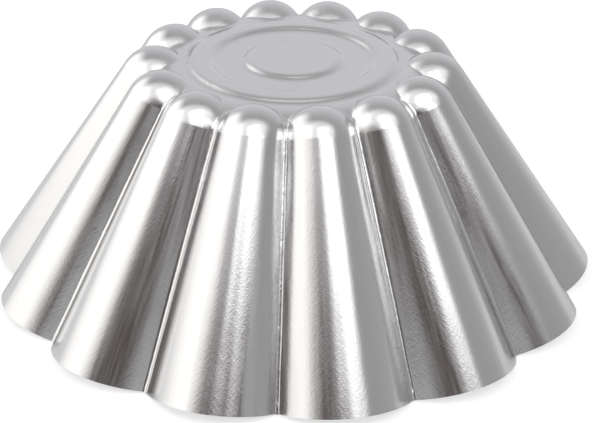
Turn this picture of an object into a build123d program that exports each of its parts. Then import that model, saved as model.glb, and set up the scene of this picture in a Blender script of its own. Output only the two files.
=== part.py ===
from build123d import *
import os
from math import asin, atan, atan2, cos, hypot, pi, radians, sin, sqrt, tan

# A fluted brioche mould pressed from one aluminium blank, standing mouth down on its rim.
# Millimetres and degrees. The mould's axis is Z, with the base up and one flute centred on +X.
# Heights are taken from the rim at the crests of the flutes; the finished mould is then
# lifted, so that it stands with the lowest points of its rim, in the valleys, on z = 0.

# Whole mould
MOUTH_DIAMETER = 75.0          # across the crests of two opposite flutes, at the rim
CREST_HEIGHT = 27.1            # from the rim at the crests up to the tops of the flutes
RIM_SLOPE = 22.8               # of the rim's cut, down towards the axis, so it dips in valleys
SHEET_THICKNESS = 0.6
FLUTE_COUNT = 14

# Flutes: each is a tapered trough, round in section, that ends in a ball-shaped dome
DOME_CIRCLE_RADIUS = 16.74     # from the axis to each dome's centre
DOME_OVERLAP = 0.58            # how far a dome reaches past half the pitch, into its neighbour
RIM_OVERLAP = 0.84             # how far a flute's radius passes half the pitch, at the rim
VALLEY_BLEND = 0.45            # outer radius along the crease between two flutes

# Base: the flat ground between the domes, and its shoulder that runs down under the creases
GROUND_DROP = 1.2              # from the tops of the domes down to the ground
SPANDREL_REACH = 0.42          # how far the ground's points run past the dome creases' centres
SHOULDER_SLOPE = 40.2          # that the ground has reached at the end of its points
DOME_FOOT_BLEND = 0.4          # outer radius where a dome rises from the ground

# Pressed rings on the base, from the outside in
RING_CLEARANCE = 0.55          # between the ring's foot and the inner ends of the domes
RING_WIDTH = 4.2               # raised ring, foot to foot
RECESS_WIDTH = 2.5             # sunk ring between the raised ring and the centre disc
STEP_HEIGHT = 0.47
STEP_WIDTH = 1.4               # of each rounded step, from its top edge to its foot

# Cutting, and finding edges
OVERRUN = 3.0                  # how far shapes run past a cut or a meeting surface
SAME_PLACE = 0.001             # points and turns closer than this count as the same
MIDDLE_SHARE = 0.5
EDGE_SAMPLE_SHARES = (0.25, 0.5, 0.75)

# Sizes that follow
half_pitch = pi / FLUTE_COUNT
dome_radius = DOME_CIRCLE_RADIUS * sin(half_pitch) + DOME_OVERLAP
dome_height = CREST_HEIGHT - dome_radius
ground_height = CREST_HEIGHT - GROUND_DROP
rim_radius = MOUTH_DIAMETER / 2
rim_fall = rim_radius * tan(radians(RIM_SLOPE))

# A flute's crest runs from the rim's widest point and touches its dome
crest_run = rim_radius - DOME_CIRCLE_RADIUS
crest_slope = atan2(dome_height, crest_run) + asin(dome_radius / hypot(crest_run, dome_height))
crest_length = sqrt(crest_run**2 + dome_height**2 - dome_radius**2)
rim_flute_radius = rim_radius * sin(half_pitch) + RIM_OVERLAP
taper = asin(rim_flute_radius / hypot(crest_length, dome_radius)) - atan2(dome_radius, crest_length)
flute_slope = crest_slope + taper
flute_length = CREST_HEIGHT / sin(flute_slope) + rim_radius

# Two domes meet in an upright circle on the plane half way between them
crease_centre = DOME_CIRCLE_RADIUS * cos(half_pitch)
crease_radius = sqrt(dome_radius**2 - (DOME_CIRCLE_RADIUS * sin(half_pitch)) ** 2)
spandrel_height = dome_height + sqrt(crease_radius**2 - SPANDREL_REACH**2)
spandrel_drop = ground_height - spandrel_height
shoulder_run = spandrel_drop / tan(radians(SHOULDER_SLOPE) / 2)
shoulder_radius = shoulder_run / sin(radians(SHOULDER_SLOPE))
flat_radius = crease_centre + SPANDREL_REACH - shoulder_run

# Radii of the base rings
dome_rise = ground_height - dome_height
dome_inner_end = DOME_CIRCLE_RADIUS - sqrt(dome_radius**2 - dome_rise**2)
ring_outer_foot = dome_inner_end - RING_CLEARANCE
ring_inner_foot = ring_outer_foot - RING_WIDTH
disc_foot = ring_inner_foot - RECESS_WIDTH


def flute(inset):
    """One flute as a solid: a ball with a cone that widens from it, cut by nothing yet."""
    radius = dome_radius - inset
    touch = Vector(radius * cos(taper), -radius * sin(taper))
    end = touch + Vector(flute_length * sin(taper), flute_length * cos(taper))
    with BuildSketch() as half_section:
        with BuildLine():
            TangentArc((0, -radius), touch, tangent=(1, 0))
            Line(touch, end)
            Polyline(end, (0, end.Y), (0, -radius))
        make_face()
    turned = revolve(half_section.sketch, axis=Axis.Y)
    # The profile's Y axis points down the flute; its X axis points into the mould
    down = Vector(cos(flute_slope), 0, -sin(flute_slope))
    inward = Vector(-sin(flute_slope), 0, -cos(flute_slope))
    place = Plane(origin=(DOME_CIRCLE_RADIUS, 0, dome_height), x_dir=inward, z_dir=inward.cross(down))
    return place * turned


def rounded_step(start, end, inset):
    """Two tangent arcs that lead from one level to another, seen in section from the axis out."""
    rise = end.Y - start.Y
    slope = 2 * atan(rise / (end.X - start.X))
    middle = (start + end) * MIDDLE_SHARE + Vector(sin(slope), -cos(slope)) * inset
    down = Vector(0, -inset)
    TangentArc(start + down, middle, tangent=(1, 0))
    TangentArc(middle, end + down, tangent=(cos(slope), sin(slope)))


def core(inset):
    """The base with its pressed rings, its shoulder and a wall along the flutes' own axes."""
    low = ground_height
    high = ground_height + STEP_HEIGHT
    steps = [
        (Vector(disc_foot - STEP_WIDTH, high), Vector(disc_foot, low)),
        (Vector(ring_inner_foot, low), Vector(ring_inner_foot + STEP_WIDTH, high)),
        (Vector(ring_outer_foot - STEP_WIDTH, high), Vector(ring_outer_foot, low)),
    ]
    down = Vector(0, -inset)
    shoulder_top = Vector(flat_radius, low)
    shoulder_centre = shoulder_top - Vector(0, shoulder_radius)
    wall_top = shoulder_centre + Vector(sin(flute_slope), cos(flute_slope)) * (shoulder_radius - inset)
    wall_drop = wall_top.Y + rim_fall + 2 * OVERRUN
    wall_foot = wall_top + Vector(wall_drop * cos(flute_slope) / sin(flute_slope), -wall_drop)
    with BuildSketch(Plane.XZ) as half_section:
        with BuildLine():
            level_from = Vector(0, high)
            for start, end in steps:
                Line(level_from + down, start + down)
                rounded_step(start, end, inset)
                level_from = end
            Line(level_from + down, shoulder_top + down)
            TangentArc(shoulder_top + down, wall_top, tangent=(1, 0))
            Line(wall_top, wall_foot)
            Polyline(wall_foot, (0, wall_foot.Y), (0, high - inset))
        make_face()
    return revolve(half_section.sketch, axis=Axis.Z)


def above_rim(allowance):
    """All that lies above the sloping cut of the rim, or above one lower by an allowance."""
    reach = MOUTH_DIAMETER
    top = CREST_HEIGHT + reach
    lowest = Vector(0, -rim_fall - allowance)
    outermost = lowest + Vector(1, tan(radians(RIM_SLOPE))) * reach
    with BuildSketch(Plane.XZ) as half_section:
        with BuildLine():
            Polyline(lowest, outermost, (reach, top), (0, top), lowest)
        make_face()
    return revolve(half_section.sketch, axis=Axis.Z)


def base_level(distance, inset):
    """Height of the ground, its shoulder or its hidden wall at a distance from the axis."""
    radius = shoulder_radius - inset
    past_flat = max(0, distance - flat_radius)
    on_shoulder = min(past_flat, radius * sin(flute_slope))
    on_wall = past_flat - on_shoulder
    shoulder_level = ground_height - shoulder_radius + sqrt(radius**2 - on_shoulder**2)
    return shoulder_level - on_wall * tan(flute_slope)


def is_crease(edge):
    """True for an edge where two flutes or their domes meet, half way between them."""
    end, middle = edge @ 0, edge @ MIDDLE_SHARE
    turns = atan2(middle.Y, middle.X) / (2 * half_pitch)
    is_half_way = abs(abs(turns - round(turns)) - MIDDLE_SHARE) < SAME_PLACE
    return is_half_way and abs(end.Z - middle.Z) > SAME_PLACE


def is_dome_foot(edge, inset):
    """True for an edge where a dome, or the blend between two, rises from the base."""
    points = [edge @ share for share in EDGE_SAMPLE_SHARES]
    distances = [hypot(point.X, point.Y) for point in points]
    lies_on_base = all(
        abs(point.Z - base_level(distance, inset)) < SAME_PLACE
        for point, distance in zip(points, distances)
    )
    goes_round_axis = max(distances) - min(distances) < SAME_PLACE
    return lies_on_base and not goes_round_axis


def fluted_solid(inset):
    """The core and all its flutes as one solid, blended in the creases and round the domes."""
    one_flute = flute(inset)
    flutes = [Rot(0, 0, 360 * place / FLUTE_COUNT) * one_flute for place in range(FLUTE_COUNT)]
    solid = core(inset).fuse(*flutes) & above_rim(OVERRUN)
    creases = [edge for edge in solid.edges() if is_crease(edge)]
    solid = solid.fillet(VALLEY_BLEND + inset, creases)
    feet = [edge for edge in solid.edges() if is_dome_foot(edge, inset)]
    return solid.fillet(DOME_FOOT_BLEND + inset, feet)


def mould_shell():
    """The pressed sheet: the outer form less the same form one sheet thickness inside it."""
    return (fluted_solid(0) & above_rim(0)) - fluted_solid(SHEET_THICKNESS)


pressed = mould_shell()
shell = Pos(0, 0, -pressed.bounding_box().min.Z) * pressed
os.makedirs("parts", exist_ok=True)
export_step(shell, "parts/mould_shell.step")
print(f"mould_shell: {shell.volume:.0f} cubic mm, {len(shell.faces())} faces, valid {shell.is_valid}")
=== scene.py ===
import logging
import math
from dataclasses import dataclass, field
from typing import Any

import bmesh
import bpy
from mathutils import Matrix, Vector

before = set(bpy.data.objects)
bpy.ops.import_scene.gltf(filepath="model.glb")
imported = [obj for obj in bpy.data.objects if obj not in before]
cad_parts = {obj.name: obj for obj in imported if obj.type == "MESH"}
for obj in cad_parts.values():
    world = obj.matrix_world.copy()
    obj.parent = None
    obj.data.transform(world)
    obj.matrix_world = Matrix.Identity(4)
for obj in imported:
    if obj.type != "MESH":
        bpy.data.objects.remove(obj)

log = logging.getLogger("brioche_mould")
MILLIMETRE = 0.001
MOULD_NODE = "mould_shell"
# Across a lamp's cloth, from one side to the other
MIDDLE_SHARE = 0.5
# Watts per square metre of a lamp that looks as bright as plain white
WHITE_LAMP_POWER = 4.0


def linear(hex_colour: str) -> tuple[float, float, float, float]:
    """Turn an sRGB colour into the linear one that shaders and lamps take.

    Args:
        hex_colour: The colour as #RRGGBB.

    Returns:
        Red, green, blue and an alpha of one.
    """
    shares = [int(hex_colour[start:start + 2], 16) / 255 for start in (1, 3, 5)]
    red, green, blue = [s / 12.92 if s <= 0.04045 else ((s + 0.055) / 1.055) ** 2.4 for s in shares]
    return red, green, blue, 1.0


def add_node(tree: bpy.types.NodeTree, kind: str, settings: dict[str, Any] | None = None,
             links: dict[Any, Any] | None = None) -> bpy.types.Node:
    """Add a node to a tree, set it up and link its inputs.

    Args:
        tree: The tree that gets the node.
        kind: The node's type, such as ShaderNodeBump.
        settings: Values by input socket, or by property where the node has one of that name.
        links: The output socket to link to each input socket.

    Returns:
        The new node.
    """
    node = tree.nodes.new(kind)
    for key, value in (settings or {}).items():
        if isinstance(key, str) and hasattr(node, key):
            setattr(node, key, value)
        else:
            node.inputs[key].default_value = value
    for key, output in (links or {}).items():
        tree.links.new(output, node.inputs[key])
    return node


def direction(azimuth: float, elevation: float) -> Vector:
    """Find the way from the mould to something round it.

    Args:
        azimuth: Degrees from the camera's side, towards its right.
        elevation: Degrees above the table.

    Returns:
        A unit vector.
    """
    turn, rise = math.radians(azimuth), math.radians(elevation)
    return Vector((math.sin(turn) * math.cos(rise), -math.cos(turn) * math.cos(rise), math.sin(rise)))


def new_material(name: str) -> tuple[bpy.types.Material, bpy.types.NodeTree]:
    """Make a material with an empty node tree.

    Args:
        name: The material's name.

    Returns:
        The material and its tree.
    """
    material = bpy.data.materials.new(name)
    material.use_nodes = True
    material.node_tree.nodes.clear()
    return material, material.node_tree


@dataclass(frozen=True)
class BrightRolledAluminium:
    """Bright aluminium sheet, rolled, pressed over a tool and worn by handling.

    To the eye: mirror-like bands with grainy edges, fine lines down the flutes, short crossed
    scratches, and faint lines one way over the base. The real grain and marks are too fine to
    show in a render, so they are drawn coarser.
    """

    name: str = "bright_rolled_aluminium"
    colour: str = "#E8E8E9"
    roughness: float = 0.19
    roughness_change: float = 0.04
    roughness_noise_range: tuple[float, float] = (0.3, 0.7)
    line_spacing_mm: float = 0.3
    line_length_mm: float = 9.0
    line_depth_mm: float = 0.004
    scratch_spacing_mm: float = 0.2
    scratch_length_mm: float = 1.1
    scratch_depth_mm: float = 0.006
    scratch_turn: float = 27.0
    mark_detail: float = 2.0
    grain_mm: float = 0.17
    grain_depth_mm: float = 0.005
    dent_mm: float = 7.0
    dent_depth_mm: float = 0.03
    noise_detail: float = 1.0
    base_radius_mm: float = 14.5
    base_blend_mm: float = 1.5
    dome_end_mm: float = 21.0
    mean_radius_mm: float = 26.0
    flute_slope: float = 58.0
    flutes: int = 14
    crest_share: float = 0.015

    def build(self) -> bpy.types.Material:
        """Make the material's nodes.

        Returns:
            The finished material.
        """
        material, tree = new_material(self.name)
        place = add_node(tree, "ShaderNodeTexCoord").outputs["Object"]
        parts = add_node(tree, "ShaderNodeSeparateXYZ", links={"Vector": place})
        flat = add_node(tree, "ShaderNodeVectorMath", {"operation": "MULTIPLY", 1: (1.0, 1.0, 0.0)},
                        {0: place}).outputs["Vector"]
        distance = add_node(tree, "ShaderNodeVectorMath", {"operation": "LENGTH"},
                            {0: flat}).outputs["Value"]
        turn = add_node(tree, "ShaderNodeMath", {"operation": "ARCTAN2"},
                        {0: parts.outputs["Y"], 1: parts.outputs["X"]}).outputs["Value"]
        laid_out = self.lay_out(tree, parts.outputs["Z"], flat, distance, turn)
        lines = self.marks(tree, laid_out, 0.0, self.line_spacing_mm, self.line_length_mm)
        left, right = [
            self.marks(tree, laid_out, leaning, self.scratch_spacing_mm, self.scratch_length_mm)
            for leaning in (self.scratch_turn, -self.scratch_turn)]
        grain, dents = [
            add_node(tree, "ShaderNodeTexNoise",
                     {"Scale": 1 / (size_mm * MILLIMETRE), "Detail": self.noise_detail},
                     {"Vector": place}).outputs["Fac"]
            for size_mm in (self.grain_mm, self.dent_mm)]
        normal = add_node(tree, "ShaderNodeBump", {"Distance": 1.0},
                          {"Height": self.crests(tree, turn, distance)}).outputs["Normal"]
        for height, depth_mm in ((dents, self.dent_depth_mm), (lines, self.line_depth_mm),
                                 (left, self.scratch_depth_mm), (right, self.scratch_depth_mm),
                                 (grain, self.grain_depth_mm)):
            normal = add_node(tree, "ShaderNodeBump", {"Distance": depth_mm * MILLIMETRE},
                              {"Height": height, "Normal": normal}).outputs["Normal"]
        smoothest, roughest = self.roughness_noise_range
        roughness = add_node(tree, "ShaderNodeMapRange",
                             {"From Min": smoothest, "From Max": roughest,
                              "To Min": self.roughness - self.roughness_change,
                              "To Max": self.roughness + self.roughness_change}, {"Value": lines})
        surface = add_node(tree, "ShaderNodeBsdfPrincipled",
                           {"Base Color": linear(self.colour), "Metallic": 1.0},
                           {"Roughness": roughness.outputs["Result"], "Normal": normal})
        add_node(tree, "ShaderNodeOutputMaterial", links={"Surface": surface.outputs["BSDF"]})
        return material

    def lay_out(self, tree: bpy.types.NodeTree, height: bpy.types.NodeSocket,
                flat: bpy.types.NodeSocket, distance: bpy.types.NodeSocket,
                turn: bpy.types.NodeSocket) -> bpy.types.NodeSocket:
        """Lay the sheet out flat: X round the mould and Y down the flutes, or the base as it is.

        Args:
            tree: The material's tree.
            height: Above the table, in metres.
            flat: Place with no height, in metres.
            distance: From the mould's axis, in metres.
            turn: Angle round the mould's axis.

        Returns:
            Place on the laid out sheet, in millimetres.
        """
        on_flutes = add_node(tree, "ShaderNodeMapRange",
                             {"From Min": self.base_radius_mm * MILLIMETRE,
                              "From Max": (self.base_radius_mm + self.base_blend_mm) * MILLIMETRE},
                             {"Value": distance}).outputs["Result"]
        unrolled = add_node(tree, "ShaderNodeCombineXYZ", links={"X": turn, "Y": height})
        down_flutes = 1 / (MILLIMETRE * math.sin(math.radians(self.flute_slope)))
        flutes = add_node(tree, "ShaderNodeVectorMath",
                          {"operation": "MULTIPLY", 1: (self.mean_radius_mm, down_flutes, 1.0)},
                          {0: unrolled.outputs["Vector"]}).outputs["Vector"]
        base = add_node(tree, "ShaderNodeVectorMath", {"operation": "SCALE", "Scale": 1 / MILLIMETRE},
                        {0: flat}).outputs["Vector"]
        return add_node(tree, "ShaderNodeMix", {"data_type": "VECTOR"},
                        {0: on_flutes, 4: base, 5: flutes}).outputs[1]

    def crests(self, tree: bpy.types.NodeTree, turn: bpy.types.NodeSocket,
               distance: bpy.types.NodeSocket) -> bpy.types.NodeSocket:
        """Shade each flute as if a faint ridge ran down its crest, with the shape left round.

        Args:
            tree: The material's tree.
            turn: Angle round the mould's axis.
            distance: From the axis, in metres.

        Returns:
            Height in metres, zero on the crests and below zero beside them.
        """
        round_flutes = add_node(tree, "ShaderNodeMath", {"operation": "MULTIPLY", 1: self.flutes},
                                {0: turn})
        wave = add_node(tree, "ShaderNodeMath", {"operation": "COSINE"}, {0: round_flutes.outputs[0]})
        half_fall = self.crest_share / 2
        fall = add_node(tree, "ShaderNodeMath",
                        {"operation": "MULTIPLY_ADD", 1: half_fall, 2: -half_fall},
                        {0: wave.outputs[0]})
        under = add_node(tree, "ShaderNodeMath", {"operation": "MULTIPLY"},
                         {0: fall.outputs[0], 1: distance})
        past_domes = add_node(tree, "ShaderNodeMapRange",
                              {"interpolation_type": "SMOOTHSTEP",
                               "From Min": self.base_radius_mm * MILLIMETRE,
                               "From Max": self.dome_end_mm * MILLIMETRE}, {"Value": distance})
        return add_node(tree, "ShaderNodeMath", {"operation": "MULTIPLY"},
                        {0: under.outputs[0], 1: past_domes.outputs["Result"]}).outputs[0]

    def marks(self, tree: bpy.types.NodeTree, laid_out: bpy.types.NodeSocket, leaning: float,
              spacing_mm: float, length_mm: float) -> bpy.types.NodeSocket:
        """Add a pattern of long thin marks.

        Args:
            tree: The material's tree.
            laid_out: Place on the sheet laid out flat, in millimetres.
            leaning: Degrees from the flutes' direction.
            spacing_mm: From one mark to the next.
            length_mm: Of a mark.

        Returns:
            The marks' height, from zero to one.
        """
        turned = add_node(tree, "ShaderNodeMapping",
                          {"Rotation": (0.0, 0.0, math.radians(leaning))}, {"Vector": laid_out})
        stretched = add_node(tree, "ShaderNodeVectorMath",
                             {"operation": "MULTIPLY", 1: (1 / spacing_mm, 1 / length_mm, 1.0)},
                             {0: turned.outputs["Vector"]})
        noise = add_node(tree, "ShaderNodeTexNoise", {"Scale": 1.0, "Detail": self.mark_detail},
                         {"Vector": stretched.outputs["Vector"]})
        return noise.outputs["Fac"]


@dataclass(frozen=True)
class MattWhiteTable:
    """A matt white table top that the camera sees as plain white with a soft shadow.

    Lift is the glow that the camera sees, and metal share is how much of it the metal mirrors.
    """

    name: str = "matt_white_table"
    colour: str = "#C9C9CA"
    roughness: float = 0.9
    glow_colour: str = "#FFFFFF"
    lift: float = 0.62
    metal_share: float = 0.3

    def build(self) -> bpy.types.Material:
        """Make the material's nodes.

        Returns:
            The finished material.
        """
        material, tree = new_material(self.name)
        path = add_node(tree, "ShaderNodeLightPath")
        in_metal = add_node(tree, "ShaderNodeMath", {"operation": "MULTIPLY", 1: self.metal_share},
                            {0: path.outputs["Is Glossy Ray"]})
        seen = add_node(tree, "ShaderNodeMath", {"operation": "MAXIMUM"},
                        {0: path.outputs["Is Camera Ray"], 1: in_metal.outputs["Value"]})
        seen = add_node(tree, "ShaderNodeMath", {"operation": "MAXIMUM"},
                        {0: seen.outputs["Value"], 1: path.outputs["Is Transmission Ray"]})
        strength = add_node(tree, "ShaderNodeMath", {"operation": "MULTIPLY", 1: self.lift},
                            {0: seen.outputs["Value"]})
        surface = add_node(tree, "ShaderNodeBsdfPrincipled",
                           {"Base Color": linear(self.colour), "Roughness": self.roughness,
                            "Emission Color": linear(self.glow_colour)},
                           {"Emission Strength": strength.outputs["Value"]})
        add_node(tree, "ShaderNodeOutputMaterial", links={"Surface": surface.outputs["BSDF"]})
        return material


@dataclass
class Mould:
    """The pressed shell, shown by its CAD node with a better finish."""

    finish: BrightRolledAluminium = field(default_factory=BrightRolledAluminium)

    def build(self, nodes: dict[str, bpy.types.Object]) -> bpy.types.Object:
        """Dress the shell.

        Args:
            nodes: The CAD nodes by name.

        Returns:
            The shell's object.
        """
        shell = nodes[MOULD_NODE]
        shell.data.materials[0] = self.finish.build()
        return shell


@dataclass
class Softbox:
    """One large lamp behind cloth, evenly bright in the middle and fading at its edges.

    Azimuth 0 is on the camera's side and 90 to its right; sizes are angles seen from the mould.
    The metal mirrors a lamp's light together with that of the room behind it.
    """

    name: str
    azimuth: float
    elevation: float
    width: float
    height: float
    brightness: float
    colour: str
    side_fade_share: float
    end_fade_share: float
    distance: float = 0.9

    def build(self) -> bpy.types.Object:
        """Make the lamp.

        Returns:
            The lamp's object.
        """
        data = bpy.data.lights.new(self.name, "AREA")
        data.shape = "RECTANGLE"
        data.size = 2 * self.distance * math.tan(math.radians(self.width / 2))
        data.size_y = 2 * self.distance * math.tan(math.radians(self.height / 2))
        data.color = linear(self.colour)[:3]
        data.energy = WHITE_LAMP_POWER * self.brightness * data.size * data.size_y
        self.fade_edges(data)
        lamp = bpy.data.objects.new(self.name, data)
        out = direction(self.azimuth, self.elevation)
        lamp.location = out * self.distance
        lamp.rotation_mode = "QUATERNION"
        lamp.rotation_quaternion = out.to_track_quat("Z", "Y")
        bpy.context.scene.collection.objects.link(lamp)
        return lamp

    def fade_edges(self, data: bpy.types.AreaLight) -> None:
        """Let the light fall off smoothly towards the cloth's edges.

        Args:
            data: The lamp's data.
        """
        data.use_nodes = True
        tree = data.node_tree
        tree.nodes.clear()
        spot = add_node(tree, "ShaderNodeNewGeometry").outputs["Parametric"]
        sides = add_node(tree, "ShaderNodeSeparateXYZ", links={"Vector": spot})
        shares = []
        for side, fade_share in (("X", self.side_fade_share), ("Y", self.end_fade_share)):
            from_middle = add_node(tree, "ShaderNodeMath",
                                   {"operation": "SUBTRACT", 1: MIDDLE_SHARE},
                                   {0: sides.outputs[side]})
            reach = add_node(tree, "ShaderNodeMath", {"operation": "ABSOLUTE"},
                             {0: from_middle.outputs["Value"]})
            fade = add_node(tree, "ShaderNodeMapRange",
                            {"interpolation_type": "SMOOTHSTEP", "From Min": MIDDLE_SHARE,
                             "From Max": MIDDLE_SHARE - fade_share},
                            {"Value": reach.outputs["Value"]})
            shares.append(fade.outputs["Result"])
        strength = add_node(tree, "ShaderNodeMath", {"operation": "MULTIPLY"},
                            {0: shares[0], 1: shares[1]})
        glow = add_node(tree, "ShaderNodeEmission", links={"Strength": strength.outputs["Value"]})
        add_node(tree, "ShaderNodeOutputLight", links={"Surface": glow.outputs["Emission"]})


@dataclass(frozen=True)
class DarkPatch:
    """A round dark patch of the room, with its middle, its radius and how much of that fades."""

    azimuth: float
    elevation: float
    radius: float
    fade_share: float


@dataclass
class Studio:
    """The table, the lamps and the room round the mould."""

    table_size: float = 8.0
    softboxes: tuple[Softbox, ...] = (
        Softbox("side_softbox", -91.0, 26.0, 105.0, 80.0, 0.74, "#FFFDF8", 0.3, 0.4),
        Softbox("top_softbox", 0.0, 64.0, 110.0, 74.0, 0.7, "#FFFFFF", 0.3, 0.4),
        Softbox("front_softbox", 17.5, 53.0, 44.0, 46.0, 0.84, "#FFFFFF", 0.25, 0.18),
        Softbox("right_softbox", 39.0, 33.0, 36.0, 20.0, 0.7, "#FFFFFF", 0.3, 0.3),
    )
    table: MattWhiteTable = field(default_factory=MattWhiteTable)
    room_colours: tuple[tuple[float, str], ...] = (
        (0.0, "#D8D7DB"), (0.35, "#AAAAAA"), (0.72, "#9E9E9E"), (1.0, "#BABABA"))
    dark_patches: tuple[DarkPatch, ...] = (
        DarkPatch(3.0, 50.0, 35.6, 0.18),
        DarkPatch(-39.0, 31.0, 18.0, 0.14),
        DarkPatch(38.0, 21.5, 8.5, 0.45),
    )
    dark_colour: str = "#4A413F"
    background_colour: str = "#FFFFFF"

    def build_table(self) -> bpy.types.Object:
        """Make the table top.

        Returns:
            The table's object.
        """
        mesh = bpy.data.meshes.new("table")
        top = bmesh.new()
        bmesh.ops.create_grid(top, x_segments=1, y_segments=1, size=self.table_size / 2)
        top.to_mesh(mesh)
        top.free()
        table = bpy.data.objects.new("table", mesh)
        table.data.materials.append(self.table.build())
        bpy.context.scene.collection.objects.link(table)
        return table

    def build_room(self) -> None:
        """Colour the room from its back to the camera's side, with white behind the mould."""
        world = bpy.data.worlds.new("room")
        bpy.context.scene.world = world
        world.use_nodes = True
        tree = world.node_tree
        tree.nodes.clear()
        way = add_node(tree, "ShaderNodeTexCoord").outputs["Generated"]
        forward = add_node(tree, "ShaderNodeVectorMath",
                           {"operation": "DOT_PRODUCT", 1: direction(0.0, 0.0)}, {0: way})
        share = add_node(tree, "ShaderNodeMapRange", {"From Min": -1.0},
                         {"Value": forward.outputs["Value"]})
        ramp = add_node(tree, "ShaderNodeValToRGB", links={"Fac": share.outputs["Result"]})
        stops = ramp.color_ramp.elements
        while len(stops) < len(self.room_colours):
            stops.new(1.0)
        for stop, (position, colour) in zip(stops, self.room_colours):
            stop.position, stop.color = position, linear(colour)
        lit = ramp.outputs["Color"]
        for patch in self.dark_patches:
            lit = self.darken(tree, way, lit, patch)
        path = add_node(tree, "ShaderNodeLightPath")
        room = add_node(tree, "ShaderNodeBackground", links={"Color": lit})
        white = add_node(tree, "ShaderNodeBackground", {"Color": linear(self.background_colour)})
        mix = add_node(tree, "ShaderNodeMixShader",
                       links={0: path.outputs["Is Camera Ray"], 1: room.outputs[0],
                              2: white.outputs[0]})
        add_node(tree, "ShaderNodeOutputWorld", links={"Surface": mix.outputs[0]})

    def darken(self, tree: bpy.types.NodeTree, way: bpy.types.NodeSocket,
               lit: bpy.types.NodeSocket, patch: DarkPatch) -> bpy.types.NodeSocket:
        """Add one dark patch to the room.

        Args:
            tree: The world's tree.
            way: Direction from the mould.
            lit: The room's colour without the patch.
            patch: The patch to add.

        Returns:
            The room's colour with the patch.
        """
        middle = direction(patch.azimuth, patch.elevation)
        near = add_node(tree, "ShaderNodeVectorMath",
                        {"operation": "DOT_PRODUCT", 1: middle}, {0: way})
        outer, inner = patch.radius * (1 + patch.fade_share), patch.radius * (1 - patch.fade_share)
        fade = add_node(tree, "ShaderNodeMapRange",
                        {"interpolation_type": "SMOOTHSTEP",
                         "From Min": math.cos(math.radians(outer)),
                         "From Max": math.cos(math.radians(inner))},
                        {"Value": near.outputs["Value"]})
        dark = add_node(tree, "ShaderNodeMix", {"data_type": "RGBA", 7: linear(self.dark_colour)},
                        {0: fade.outputs["Result"], 6: lit})
        return dark.outputs[2]

    def build(self) -> None:
        """Make the table, the lamps and the room."""
        log.info("built %s", self.build_table().name)
        for softbox in self.softboxes:
            log.info("built %s", softbox.build().name)
        self.build_room()
        bpy.context.scene.view_settings.view_transform = "Standard"


@dataclass
class Viewpoint:
    """The camera where the photographer stood: metres, degrees and a lens in millimetres."""

    distance: float = 0.17342
    height: float = 0.10008
    turn: float = 2.6045
    heading: float = 2.4555
    pitch: float = 28.2755
    roll: float = 0.3667
    lens: float = 94.83
    sensor_width: float = 36.0
    nearest: float = 0.005

    def build(self) -> bpy.types.Object:
        """Make the camera.

        Returns:
            The camera's object.
        """
        data = bpy.data.cameras.new("camera")
        data.sensor_width = self.sensor_width
        data.lens = self.lens
        data.clip_start = self.nearest
        camera = bpy.data.objects.new("camera", data)
        in_front = Vector((0, -self.distance, self.height))
        place = Matrix.Rotation(math.radians(self.turn), 4, "Z") @ in_front
        camera.matrix_world = (
            Matrix.Translation(place)
            @ Matrix.Rotation(math.radians(self.heading), 4, "Z")
            @ Matrix.Rotation(math.radians(90 - self.pitch), 4, "X")
            @ Matrix.Rotation(math.radians(self.roll), 4, "Z")
        )
        bpy.context.scene.collection.objects.link(camera)
        bpy.context.scene.camera = camera
        return camera


def main() -> None:
    """Build the camera, the mould and the studio."""
    logging.basicConfig(level=logging.INFO)
    bpy.context.view_layer.update()
    Viewpoint().build()
    shell = Mould().build(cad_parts)
    log.info("dressed %s", shell.name)
    Studio().build()


if __name__ == "__main__":
    main()
